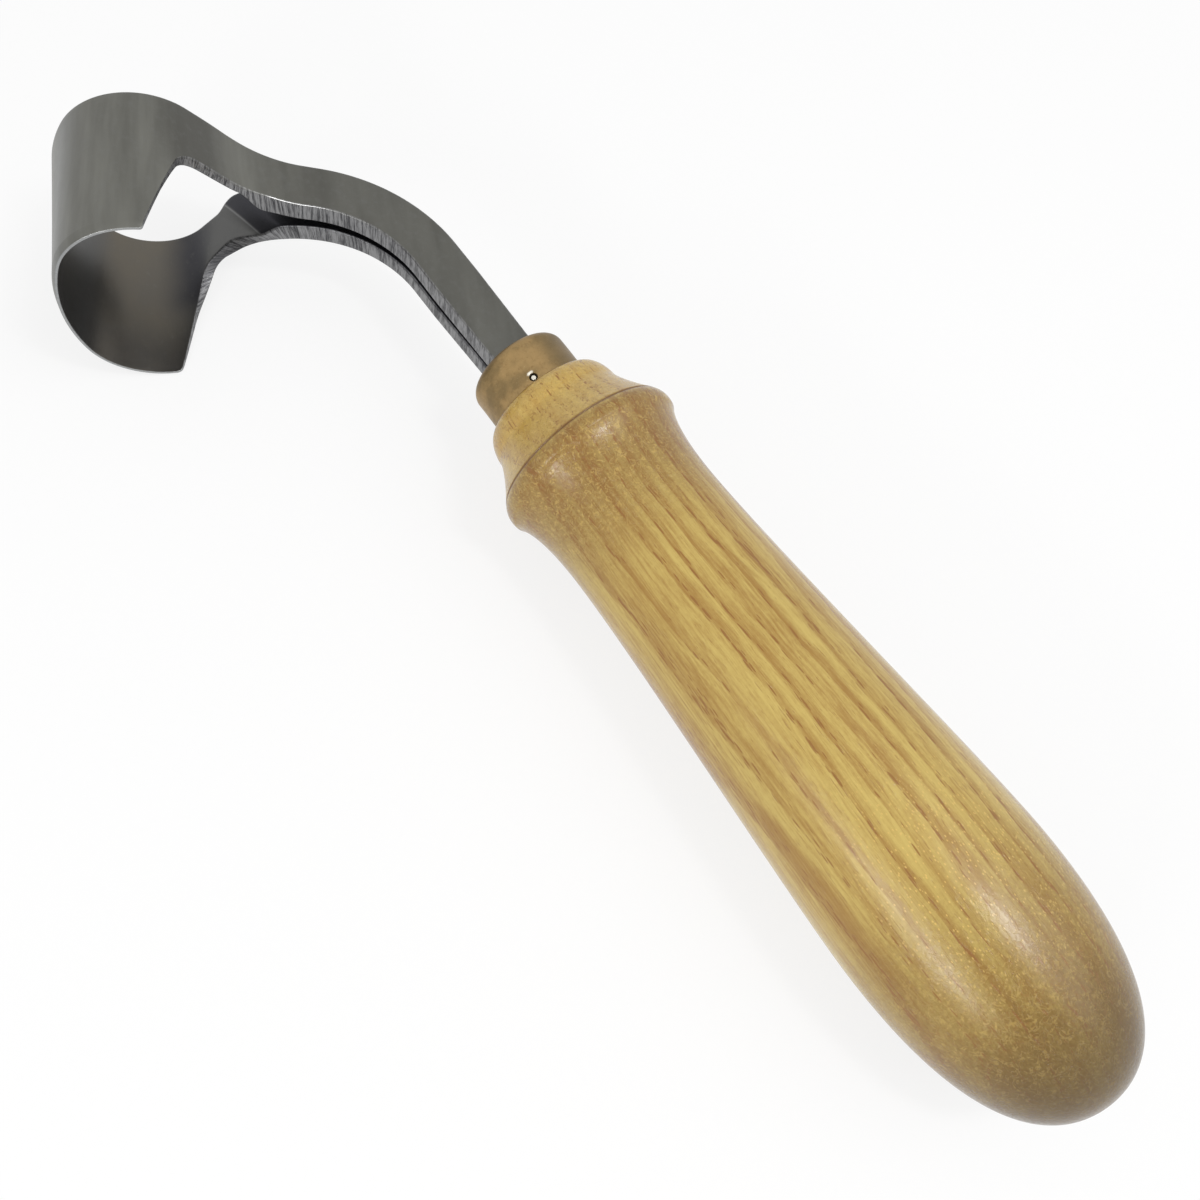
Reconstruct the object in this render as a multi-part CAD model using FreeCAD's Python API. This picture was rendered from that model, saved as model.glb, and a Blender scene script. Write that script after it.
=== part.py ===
import FreeCAD, Part
import math
import os

# A scorp: a one-handed pull knife for hollowing wood. One flat bar is bent into a
# teardrop loop with its cutting edge towards the hand, and its two ends lie side by
# side as a cranked double shank whose tangs are bedded in a turned ash handle.
#
# Frame: the tool lies on its side. The origin is on the handle's axis at the
# ferrule's front face. +X runs along the handle to its butt, the blade is on the
# -X side and its loop reaches towards -Y. +Z is up, and the plane Z = 0 is the
# blade's plane of symmetry. All sizes are millimetres and degrees.

# Handle, with its places measured from the end of the ferrule
handle_length = 122.3
shoulder_radius = 10.95
shoulder_chamfer = 1.1
shoulder_chamfer_length = 1.8
cove_start = 4.8
cove_round = 7.6
bead_start = 10.2
bead_start_radius = 14.5
bead_crest = 11.5
bead_radius = 15.0
bead_end = 12.7
bead_end_radius = 14.85
fall_end = 13.6
fall_end_radius = 14.25
neck_start = 19.9
neck_start_round = 42.0
neck_radius = 12.75
neck_end = 32.6
neck_end_round = 200.0
belly_end = 85.7
belly_end_round = 226.0
swell_radius = 16.17
swell_end = 93.0
butt_shoulder = 103.5
butt_shoulder_radius = 15.6
butt_shoulder_round = 14.0
butt_round = 13.3

# Ferrule, a drawn brass cap whose front edge is turned in over the tenon
ferrule_length = 7.75
ferrule_radius = 8.0
ferrule_wall = 1.0
ferrule_edge = 1.5
ferrule_edge_turn = 30.0
ferrule_mouth_radius = 6.0
ferrule_fit = 0.03

# Pin that holds the ferrule on the tenon
pin_radius = 0.7
pin_length = 2.7
pin_from_rear = 1.25
pin_turn = 17.5
pin_sink = 0.15
pin_chamfer = 0.25
pin_fit = 0.04

# Bar that the blade is bent from
bar_thickness = 3.2
loop_depth = 25.2
spine_thickness = 2.0
edge_thickness = 0.75
edge_land = 0.4
bevel_width = 1.3

# Loop: a wide nose between two rounder sides, drawn in by straight flanks to the
# shanks
loop_reach = 36.1
loop_drop = 40.5
loop_lean = 64.9
loop_half_length = 13.1
loop_half_width = 17.1
loop_side_round = 11.5
nose_turn = 26.0
flank_angle = 45.0
flank_round = 12.4

# Ends of the loop's walls, measured in the loop's own plane
wall_start = 1.5
wall_corner_round = 1.0
wall_belly_back = 4.7
wall_belly_depth = 11.0
wall_belly_round = 18.0
notch_lean = 36.0
notch_round = 2.4

# Double shank
shank_straight = 22.0
shank_taper_end = 16.0
shank_width = 7.5
shank_bend_radius = 25.0
shank_bend = 51.0
spine_round = 20.0
shank_gap_root = 0.2
shank_gap_shoulder = 2.0
gap_closes = 47.0
gap_opens = 20.0

# Tangs and their bedding
tang_length = 46.0
tang_root_width = 6.5
tang_tip_width = 4.4
tang_tip_thickness = 2.2
tang_tip_round = 0.8
bore_radius = 4.9
bore_spare = 2.0
drill_half_angle = 59.0
bedding_fit = 0.02

# Spare length by which a cutting shape passes what it cuts
SPARE = 6.0

wood_start = ferrule_length
butt = wood_start + handle_length
tenon_front = ferrule_wall + ferrule_fit
lean = math.radians(loop_lean)
LOOP_CENTRE = FreeCAD.Vector(-loop_reach, -loop_drop, 0)
DOWN_LOOP = FreeCAD.Vector(-math.cos(lean), -math.sin(lean), 0)
TO_SPINE = FreeCAD.Vector(-math.sin(lean), math.cos(lean), 0)
ALONG_HANDLE = FreeCAD.Vector(1, 0, 0)
SIDE = FreeCAD.Vector(0, 0, 1)


def point(x, y):
    """A point in the plane of symmetry."""
    return FreeCAD.Vector(x, y, 0)


def in_loop(along, side, depth):
    """A point given in the loop's plane: along it from its centre, sideways, and
    from the cutting edge towards the spine."""
    return LOOP_CENTRE + DOWN_LOOP * along + SIDE * side + TO_SPINE * depth


def line(start, end):
    """Straight edge between two points."""
    return Part.LineSegment(start, end).toShape()


def round_corner(before, corner, after, radius):
    """Start, middle and end of the arc that rounds a corner between two lines."""
    back = (before - corner).normalize()
    on = (after - corner).normalize()
    half = back.getAngle(on) / 2
    reach = radius / math.tan(half)
    middle = (back + on).normalize() * (radius / math.sin(half) - radius)
    return corner + back * reach, corner + middle, corner + on * reach


def rounded_run(corners):
    """Edges through a list of (point, radius). Both ends are sharp, and each corner
    between them is rounded by an arc of its radius."""
    edges = []
    at = corners[0][0]
    for before, (corner, radius), after in zip(corners, corners[1:], corners[2:]):
        if radius > 0:
            start, middle, end = round_corner(before[0], corner, after[0], radius)
            edges.append(line(at, start))
            edges.append(Part.Arc(start, middle, end).toShape())
            at = end
        else:
            edges.append(line(at, corner))
            at = corner
    edges.append(line(at, corners[-1][0]))
    return edges


def rounded_outline(corners):
    """Closed wire through a list of (point, radius), whose first corner is sharp."""
    return Part.Wire(rounded_run(corners + [corners[0]]))


def meet(start_a, along_a, start_b, along_b):
    """Where two lines in the plane of symmetry cross."""
    gap = start_b - start_a
    cross = along_a.x * along_b.y - along_a.y * along_b.x
    steps = (gap.x * along_b.y - gap.y * along_b.x) / cross
    return start_a + along_a * steps


def turned(outline):
    """Solid turned about the handle's axis from a closed outline beside it."""
    return Part.Face(outline).revolve(FreeCAD.Vector(0, 0, 0), ALONG_HANDLE, 360)


def bore(radius, depth):
    """Round hole from in front of the tenon, with the drill's point at its end."""
    tip_length = radius / math.tan(math.radians(drill_half_angle))
    barrel = Part.makeCylinder(radius, depth + SPARE, point(-SPARE, 0), ALONG_HANDLE)
    tip = Part.makeCone(radius, 0, tip_length, point(depth, 0), ALONG_HANDLE)
    return barrel.fuse(tip).removeSplitter()


def from_wood(distance, radius):
    """A point of the handle's outline, with its place measured from the ferrule's end."""
    return point(wood_start + distance, radius)


def onto_dome(start):
    """Where a line from a point of the outline runs smoothly onto the butt's dome."""
    to_centre = point(butt - butt_round, 0) - start
    turn = math.atan2(to_centre.y, to_centre.x) + math.asin(butt_round / to_centre.Length)
    reach = math.sqrt(to_centre.Length ** 2 - butt_round ** 2)
    return start + point(math.cos(turn), math.sin(turn)) * reach


def handle_profile():
    """Half section of the handle without its bore, from the tenon to the butt."""
    tenon = ferrule_radius - ferrule_wall - ferrule_fit
    dome_start = onto_dome(from_wood(butt_shoulder, butt_shoulder_radius))
    halfway = math.atan2(dome_start.y, dome_start.x - butt + butt_round) / 2
    dome_middle = point(butt - butt_round, 0)
    dome_middle += point(math.cos(halfway), math.sin(halfway)) * butt_round
    dome = Part.Arc(dome_start, dome_middle, point(butt, 0)).toShape()
    outline = rounded_run([
        (point(tenon_front, 0), 0),
        (point(tenon_front, tenon - ferrule_wall), 0),
        (point(tenon_front + ferrule_wall, tenon), 0),
        (from_wood(0, tenon), 0),
        (from_wood(0, shoulder_radius - shoulder_chamfer), 0),
        (from_wood(shoulder_chamfer_length, shoulder_radius), 0),
        (from_wood(cove_start, shoulder_radius), cove_round),
        (from_wood(bead_start, bead_start_radius), 0),
        (from_wood(bead_crest, bead_radius), 0),
        (from_wood(bead_end, bead_end_radius), 0),
        (from_wood(fall_end, fall_end_radius), 0),
        (from_wood(neck_start, neck_radius), neck_start_round),
        (from_wood(neck_end, neck_radius), neck_end_round),
        (from_wood(belly_end, swell_radius), belly_end_round),
        (from_wood(swell_end, swell_radius), 0),
        (from_wood(butt_shoulder, butt_shoulder_radius), butt_shoulder_round),
        (dome_start, 0),
    ])
    return Part.Wire(outline + [dome, line(point(butt, 0), point(tenon_front, 0))])


def pin_placed(radius, inner_end, outer_end):
    """Round bar on the pin's line, between two distances from the handle's axis."""
    turn = math.radians(pin_turn)
    out = FreeCAD.Vector(0, -math.sin(turn), math.cos(turn))
    start = point(wood_start - pin_from_rear, 0) + out * inner_end
    return Part.makeCylinder(radius, outer_end - inner_end, start, out)


def make_pin():
    """Headless brad, driven in until it lies a little below the brass."""
    top = ferrule_radius - pin_sink
    pin = pin_placed(pin_radius, top - pin_length, top)
    rims = [edge for edge in pin.Edges if edge.Closed]
    outer_rim = max(rims, key=lambda edge: edge.CenterOfMass.z)
    return pin.makeChamfer(pin_chamfer, [outer_rim])


def pin_hole():
    """Hole for the pin through the ferrule and into the tenon."""
    inner_end = ferrule_radius - pin_sink - pin_length - pin_fit
    return pin_placed(pin_radius + pin_fit, inner_end, ferrule_radius + SPARE)


def make_ferrule():
    """Brass cap with an open mouth. Two flats ease its front edge, in place of a round."""
    inner = ferrule_radius - ferrule_wall
    turn = math.radians(ferrule_edge_turn)
    ease = point(1 - math.sin(turn), math.cos(turn) - 1) * ferrule_edge
    outline = rounded_outline([
        (point(0, ferrule_mouth_radius), 0),
        (point(0, ferrule_radius - ferrule_edge), 0),
        (point(0, ferrule_radius) + ease, 0),
        (point(ferrule_edge, ferrule_radius), 0),
        (point(wood_start, ferrule_radius), 0),
        (point(wood_start, inner), 0),
        (point(ferrule_wall, inner), 0),
        (point(ferrule_wall, ferrule_mouth_radius), 0),
    ])
    return turned(outline).cut(pin_hole())


def make_handle():
    """Turned ash handle with a tenon for the ferrule and a bore for the tangs."""
    body = turned(handle_profile())
    return body.cut(bore(bore_radius, tang_length + bore_spare)).cut(pin_hole())


def bar_section(depth, inset, root_half, shoulder_half):
    """Closed line round the bent bar at one depth between cutting edge and spine.

    The loop is an arc across its nose, which turns by nose_turn to each side before
    it meets the side arcs, all set in from the outer face by inset. Straight flanks
    leave the side arcs at flank_angle, and a wide curve brings them to the shanks,
    whose half spacing falls from the shoulder to the root.
    """
    side_round = loop_side_round - inset
    side_centre = loop_half_width - loop_side_round
    turn = math.radians(nose_turn)
    nose_round = side_round + side_centre / math.sin(turn)
    nose_centre = loop_half_length - inset - nose_round
    side_along = nose_centre + (nose_round - side_round) * math.cos(turn)
    flank = math.radians(flank_angle)
    side_middle = (turn + math.pi / 2 + flank) / 2
    leave_along = side_along - side_round * math.sin(flank)
    leave_side = side_centre + side_round * math.cos(flank)
    slope = (shoulder_half - root_half) / (gap_closes - gap_opens)
    rise = root_half + slope * gap_closes - leave_side + math.tan(flank) * leave_along
    corner_along = rise / (math.tan(flank) - slope)
    corner_side = leave_side + math.tan(flank) * (corner_along - leave_along)
    far_end = -gap_closes - tang_length

    def loop_point(along, side):
        return in_loop(along, side, depth)

    edges = []
    joins = []
    for way in (1, -1):
        kink = loop_point(-gap_closes, way * root_half)
        corner = loop_point(corner_along, way * corner_side)
        leave = loop_point(leave_along, way * leave_side)
        start, middle, stop = round_corner(kink, corner, leave, flank_round + shoulder_half)
        side = loop_point(side_along + side_round * math.cos(side_middle),
                          way * (side_centre + side_round * math.sin(side_middle)))
        join = loop_point(nose_centre + nose_round * math.cos(turn),
                          way * nose_round * math.sin(turn))
        joins.append(join)
        edges += [
            line(loop_point(far_end, way * root_half), kink),
            line(kink, start),
            Part.Arc(start, middle, stop).toShape(),
            line(stop, leave),
            Part.Arc(leave, side, join).toShape(),
        ]
    nose = loop_point(nose_centre + nose_round, 0)
    edges += [
        Part.Arc(joins[0], nose, joins[1]).toShape(),
        line(loop_point(far_end, -root_half), loop_point(far_end, root_half)),
    ]
    return Part.Wire(Part.__sortEdges__(edges))


def bent_bar():
    """The bar bent to its loop and shanks, ground thin from spine to cutting edge."""
    low = -tang_length - SPARE * 3
    high = loop_depth + SPARE
    gap_root = shank_gap_root / 2
    gap_shoulder = shank_gap_shoulder / 2
    out_root = gap_root + bar_thickness
    out_shoulder = gap_shoulder + bar_thickness
    bevel = edge_thickness - edge_land
    outer = Part.makeLoft([
        bar_section(low, bevel, out_root, out_shoulder),
        bar_section(0, bevel, out_root, out_shoulder),
        bar_section(bevel_width, 0, out_root, out_shoulder),
        bar_section(high, 0, out_root, out_shoulder),
    ], True, True)
    inner = Part.makeLoft([
        bar_section(low - 1, edge_thickness, gap_root, gap_shoulder),
        bar_section(0, edge_thickness, gap_root, gap_shoulder),
        bar_section(loop_depth, spine_thickness, gap_root, gap_shoulder),
        bar_section(high + 1, spine_thickness, gap_root, gap_shoulder),
    ], True, True)
    return outer.cut(inner)


def blade_outline():
    """Side outline of the blade: tang, straight shank, crank and the loop's strip."""
    half = shank_width / 2
    bend = math.radians(shank_bend)
    crank = point(-math.cos(bend), -math.sin(bend))
    tangent = math.tan(bend / 2)
    upper_bend = point(-shank_straight - (shank_bend_radius + half) * tangent, half)
    lower_bend = point(-shank_straight - (shank_bend_radius - half) * tangent, -half)
    spine_corner = meet(upper_bend, crank, in_loop(0, 0, loop_depth), DOWN_LOOP)
    wall_belly = in_loop(-wall_belly_back, 0, wall_belly_depth)
    notch_way = TO_SPINE * math.cos(math.radians(notch_lean))
    notch_way = notch_way - DOWN_LOOP * math.sin(math.radians(notch_lean))
    notch = meet(lower_bend, crank, wall_belly, notch_way)
    past = loop_half_length + SPARE
    return rounded_outline([
        (point(0, tang_root_width / 2), 0),
        (point(-shank_taper_end, half), 0),
        (upper_bend, shank_bend_radius + half),
        (spine_corner, spine_round),
        (in_loop(past, 0, loop_depth), 0),
        (in_loop(past, 0, 0), 0),
        (in_loop(-wall_start, 0, 0), wall_corner_round),
        (wall_belly, wall_belly_round),
        (notch, notch_round),
        (lower_bend, shank_bend_radius - half),
        (point(-shank_taper_end, -half), 0),
        (point(0, -tang_root_width / 2), 0),
        (point(tang_length, -tang_tip_width / 2), tang_tip_round),
        (point(tang_length, tang_tip_width / 2), tang_tip_round),
    ])


def tang_wedges():
    """What is forged off the tangs' outer faces, from nothing at the ferrule's front."""
    root = shank_gap_root / 2 + bar_thickness
    tip = shank_gap_root / 2 + tang_tip_thickness
    past = tang_length + SPARE
    past_tip = root + (tip - root) * past / tang_length
    wedges = []
    for way in (1, -1):
        corners = [(0, root), (past, past_tip), (past, root + SPARE), (0, root + SPARE)]
        points = [FreeCAD.Vector(x, -shank_width, way * z) for x, z in corners]
        face = Part.Face(Part.makePolygon(points + points[:1]))
        wedges.append(face.extrude(FreeCAD.Vector(0, shank_width * 2, 0)))
    return wedges


def make_blade():
    """One steel bar: the bent and ground bar, trimmed to its side outline."""
    width = loop_half_width + SPARE
    trim = Part.Face(blade_outline()).extrude(SIDE * 2 * width)
    trim.translate(SIDE * -width)
    return bent_bar().common(trim).cut(tang_wedges())


def make_bedding(blade):
    """Hardened resin that fills the bore round the tangs."""
    fill = bore(bore_radius - bedding_fit, tang_length + bore_spare - bedding_fit)
    front = Part.makeCylinder(bore_radius * 2, SPARE * 2, point(tenon_front, 0), ALONG_HANDLE * -1)
    return fill.cut(front).cut(blade)


def main():
    """Build every piece and write it out."""
    os.makedirs("parts", exist_ok=True)
    blade = make_blade()
    pieces = {
        "handle": make_handle(),
        "ferrule": make_ferrule(),
        "ferrule_pin": make_pin(),
        "blade": blade,
        "tang_bedding": make_bedding(blade),
    }
    for name, shape in pieces.items():
        shape.exportStep("parts/" + name + ".step")
        print(name, len(shape.Solids), "solid", shape.isValid(), round(shape.Volume, 1))


main()
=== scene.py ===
"""Dresses a one-handed scorp: ground steel loop, brass ferrule and lacquered ash handle."""

import bpy
import numpy as np
from mathutils import Matrix, Vector


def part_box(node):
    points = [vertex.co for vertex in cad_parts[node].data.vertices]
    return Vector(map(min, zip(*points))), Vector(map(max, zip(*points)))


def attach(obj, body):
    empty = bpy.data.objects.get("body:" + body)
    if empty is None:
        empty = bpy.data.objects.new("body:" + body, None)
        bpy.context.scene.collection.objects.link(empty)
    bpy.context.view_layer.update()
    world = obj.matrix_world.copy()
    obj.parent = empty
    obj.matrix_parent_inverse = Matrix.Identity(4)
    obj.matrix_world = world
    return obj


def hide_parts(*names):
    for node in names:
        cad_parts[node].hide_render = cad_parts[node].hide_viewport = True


bl_info = {
    "name": "Scorp",
    "version": (1, 0, 0),
    "blender": (4, 5, 0),
    "location": "3D View > Sidebar > Scorp",
    "description": "Makes the blade, ferrule and handle of a scorp and the stage it lies on",
    "category": "Object",
}

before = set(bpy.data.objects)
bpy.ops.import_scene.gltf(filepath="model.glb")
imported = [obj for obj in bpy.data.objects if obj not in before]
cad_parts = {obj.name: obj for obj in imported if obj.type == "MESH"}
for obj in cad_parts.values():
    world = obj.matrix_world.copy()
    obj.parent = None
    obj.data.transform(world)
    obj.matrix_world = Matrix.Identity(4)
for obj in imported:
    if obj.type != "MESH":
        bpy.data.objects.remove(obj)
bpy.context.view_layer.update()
BODY = "root"
MM = 0.001
FERRULE_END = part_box("ferrule")[1].x + 0.5 * MM
BUTT_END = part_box("handle")[1].x
TANG_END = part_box("blade")[1].x
HANDLE_LENGTH = (BUTT_END - FERRULE_END) / MM

# Where the loop lies: its centre and the lean of its strip, as in the solids
LOOP_CENTRE = np.array([-36.1, -40.5])
LOOP_LEAN = np.radians(64.9)
DOWN_LOOP = np.array([-np.cos(LOOP_LEAN), -np.sin(LOOP_LEAN)])
TO_SPINE = np.array([-np.sin(LOOP_LEAN), np.cos(LOOP_LEAN)])


# Curves and surfaces


def bezier(poles, count):
    """Cubic curve: the sum of four poles, each times its share (1-t)^(3-k) t^k and the
    usual factors 1, 3, 3, 1. Its last point is left to the next curve."""
    t = np.linspace(0, 1, count, endpoint=False)[:, None]
    a, b, c, d = np.array(poles, float)
    return a * (1 - t) ** 3 + 3 * b * t * (1 - t) ** 2 + 3 * c * t * t * (1 - t) + d * t ** 3


def straight(start, end, count):
    """Even steps on a line. Its last point is left to the next curve."""
    t = np.linspace(0, 1, count, endpoint=False)[:, None]
    return np.array(start, float) * (1 - t) + np.array(end, float) * t


def arc(centre, radius, start, end, count, closed=False):
    """Points at centre + radius (cos a, sin a), with a in degrees from start to end."""
    angle = np.radians(np.linspace(start, end, count, endpoint=closed))
    return np.array(centre, float) + radius * np.stack([np.cos(angle), np.sin(angle)], 1)


def smooth_step(low, high, value):
    """0 below low, 1 above high and 3t^2 - 2t^3 between them."""
    t = np.clip((value - low) / (high - low), 0, 1)
    return t * t * (3 - 2 * t)


def blend(a, b, share):
    """a where share is 0, b where it is 1, and in proportion between them."""
    return a + (b - a) * share


def rounded_path(corners, step):
    """Polyline through (point, radius), each corner rounded by an arc tangent to its two
    lines. Returns the points, their distance along the path, and where each arc starts
    and ends."""
    points = [np.array(corners[0][0], float)[None]]
    ends = []
    length = 0.0
    at = points[0][0]
    for (before, _), (corner, radius), (after, _) in zip(corners, corners[1:], corners[2:]):
        corner = np.array(corner, float)
        back, on = np.array(before, float) - corner, np.array(after, float) - corner
        back /= np.linalg.norm(back)
        on /= np.linalg.norm(on)
        half = np.arccos(np.clip(back @ on, -1, 1)) / 2
        reach = radius / np.tan(half)
        centre = corner + (back + on) / np.linalg.norm(back + on) * radius / np.sin(half)
        first = corner + back * reach
        last = corner + on * reach
        sweep = np.pi - 2 * half
        turn = np.sign(back[0] * on[1] - back[1] * on[0]) * -1
        start = np.arctan2(*(first - centre)[::-1])
        angle = start + turn * np.linspace(0, sweep, max(3, int(radius * sweep / step)))
        length += np.linalg.norm(first - at)
        ends.append((length, length + radius * sweep))
        length += radius * sweep
        points.append(centre + radius * np.stack([np.cos(angle), np.sin(angle)], 1))
        at = last
    points.append(np.array(corners[-1][0], float)[None])
    points = np.concatenate(points)
    steps = np.linalg.norm(np.diff(points, axis=0), axis=1)
    return points, np.concatenate([[0], np.cumsum(steps)]), ends


def at_length(path, lengths):
    """Points of a rounded path at given distances along it."""
    points, along, _ = path
    return np.stack([np.interp(lengths, along, points[:, k]) for k in (0, 1)], 1)


def grid_faces(rows, columns, close_columns):
    """Quads of a grid of points, numbered row by row."""
    across = np.arange(columns if close_columns else columns - 1)
    row = np.arange(rows - 1)[:, None] * columns
    after = (across + 1) % columns
    above = row + columns
    quads = np.stack([row + across, row + after, above + after, above + across], -1)
    return quads.reshape(-1, 4)


def fan(centre, ring):
    """Triangles from one point to a closed ring of points."""
    return np.stack([np.full(len(ring), centre), ring, np.roll(ring, -1)], 1)


def finished(name, points, faces, node, material, marks):
    """Makes the mesh in metres, smooth and with its marks as attributes, and lets it stand
    for its CAD node."""
    mesh = bpy.data.meshes.new(name)
    mesh.from_pydata((points * MM).tolist(), [], [f for part in faces for f in part.tolist()])
    mesh.shade_smooth()
    for mark, values in marks.items():
        mesh.attributes.new(mark, "FLOAT", "POINT").data.foreach_set(
            "value", np.ascontiguousarray(values, np.float32)
        )
    mesh.validate()
    mesh.update()
    mesh.materials.append(material)
    piece = bpy.data.objects.new(name, mesh)
    bpy.context.scene.collection.objects.link(piece)
    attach(piece, BODY)
    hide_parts(node)
    return piece


def turned(profile, turns):
    """Surface of revolution: each profile point (x, r) goes to (x, r cos a, r sin a) for
    every angle a in turns. Returns the grid of points and its faces, with both poles
    closed."""
    x = np.repeat(profile[1:-1, :1], len(turns), 1)
    y = profile[1:-1, 1:] * np.cos(turns)
    z = profile[1:-1, 1:] * np.sin(turns)
    grid = np.stack([x, y, z], -1)
    rows, columns = grid.shape[:2]
    poles = np.array([[profile[0, 0], 0, 0], [profile[-1, 0], 0, 0]])
    count = rows * columns
    first = np.arange(columns)
    last = first + (rows - 1) * columns
    faces = [
        grid_faces(rows, columns, True)[:, ::-1],
        fan(count, first),
        fan(count + 1, last)[:, ::-1],
    ]
    return grid, poles, faces


# Shader maths


class Number:
    """A number that varies over a surface. Sums of it add Math nodes."""

    def __init__(self, nodes, socket):
        self.nodes = nodes
        self.socket = socket

    def math(self, operation, *values):
        return self.nodes.number("ShaderNodeMath", {"operation": operation}, *values)

    def __add__(self, other):
        return self.math("ADD", self, other)

    def __radd__(self, other):
        return self.math("ADD", other, self)

    def __sub__(self, other):
        return self.math("SUBTRACT", self, other)

    def __rsub__(self, other):
        return self.math("SUBTRACT", other, self)

    def __mul__(self, other):
        return self.math("MULTIPLY", self, other)

    def __rmul__(self, other):
        return self.math("MULTIPLY", other, self)

    def __truediv__(self, other):
        return self.math("DIVIDE", self, other)

    def __abs__(self):
        return self.math("ABSOLUTE", self)

    def step(self, low, high):
        """0 at low, 1 at high and smooth between them; low may be the larger one."""
        settings = {"interpolation_type": "SMOOTHSTEP"}
        return self.nodes.number("ShaderNodeMapRange", settings, self, low, high, 0.0, 1.0)

    def within(self, centre, half):
        """1 at centre, falling smoothly to 0 at half on both sides."""
        return abs(self - centre).step(half, 0.0)

    def fraction(self):
        """The part after the decimal point."""
        return self.math("FRACT", self)

    def capped(self):
        """No more than 1."""
        return self.math("MINIMUM", self, 1.0)


class Finish:
    """The node tree of a material or a world, emptied first."""

    def __init__(self, owner):
        owner.use_nodes = True
        self.owner = owner
        self.tree = owner.node_tree
        self.tree.nodes.clear()

    def join(self, value, socket):
        """Links a value to a socket, or sets it there if it's a constant."""
        if isinstance(value, Number):
            value = value.socket
        if isinstance(value, bpy.types.NodeSocket):
            self.tree.links.new(value, socket)
        elif socket.type == "RGBA":
            socket.default_value = (*value[:3], 1.0)
        else:
            socket.default_value = value

    def add(self, kind, settings, *values, **named):
        """Adds a node: its settings first, then the values or links of its sockets, in
        order or by name."""
        node = self.tree.nodes.new(kind)
        for key, value in settings.items():
            setattr(node, key, value)
        for socket, value in zip(node.inputs, values):
            self.join(value, socket)
        for name, value in named.items():
            self.join(value, node.inputs[name.replace("_", " ")])
        return node

    def number(self, kind, settings, *values, **named):
        return Number(self, self.add(kind, settings, *values, **named).outputs[0])

    def mark(self, name):
        """A number stored on the piece's points."""
        node = self.add("ShaderNodeAttribute", {"attribute_name": name})
        return Number(self, node.outputs["Fac"])

    def place(self):
        """The point's place in millimetres, as a vector."""
        at = self.add("ShaderNodeTexCoord", {}).outputs["Object"]
        return self.stretched(at, (1 / MM, 1 / MM, 1 / MM))

    def stretched(self, place, scale, centre=(0, 0, 0)):
        """A place with its pattern drawn out or closed up along each axis."""
        node = self.add("ShaderNodeMapping", {}, Vector=place, Location=centre, Scale=scale)
        return node.outputs[0]

    def axis(self, place, name):
        return Number(self, self.add("ShaderNodeSeparateXYZ", {}, place).outputs[name])

    def joined(self, x, y, z):
        """A vector from three numbers."""
        return self.add("ShaderNodeCombineXYZ", {}, x, y, z).outputs[0]

    def noise(self, place, scale, detail=2.0, rough=0.5, twist=0.0):
        """Noise from 0 to 1."""
        look = {"Scale": scale, "Detail": detail, "Roughness": rough, "Distortion": twist}
        return self.number("ShaderNodeTexNoise", {"normalize": True}, Vector=place, **look)

    def curls(self, place, scale, half, twist):
        """Thin wandering lines, where a noise passes its middle value."""
        return abs(self.noise(place, scale, 2.0, 0.5, twist) - 0.5).step(half, half * 0.35)

    def cells(self, place, scale):
        """Distance to the nearest of scattered points."""
        return self.number("ShaderNodeTexVoronoi", {"feature": "F1"}, Vector=place, Scale=scale)

    def mix(self, share, first, second):
        """Colour between first and second."""
        node = self.add("ShaderNodeMix", {"data_type": "RGBA"}, share)
        self.join(first, node.inputs[6])
        self.join(second, node.inputs[7])
        return node.outputs[2]

    def bump(self, height, depth):
        """Surface relief, with its depth in millimetres."""
        sizes = {"Strength": 1.0, "Distance": depth * MM}
        return self.add("ShaderNodeBump", {}, Height=height, **sizes).outputs[0]

    def surface(self, **sockets):
        """The principled shader and the output. Returns the material."""
        node = self.add("ShaderNodeBsdfPrincipled", {}, **sockets)
        self.add("ShaderNodeOutputMaterial", {}, node.outputs[0])
        return self.owner


def new_finish(name):
    """The finish of a new material."""
    return Finish(bpy.data.materials.new(name))


def linear(colour):
    """A display colour from 0 to 255 as linear light."""
    c = np.array(colour, float) / 255
    return tuple(np.where(c <= 0.04045, c / 12.92, ((c + 0.055) / 1.055) ** 2.4).tolist())


# Ash handle

# Radii of the hidden bore and tenon, depth of the bore's straight part and of its end, and
# distance of the groove in front of the bead from the wood's front end, all in millimetres
BORE = 4.9
TENON = 6.97
BORE_STRAIGHT = 48.0
BORE_END = 50.9
GROOVE_BACK = 10.15


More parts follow.
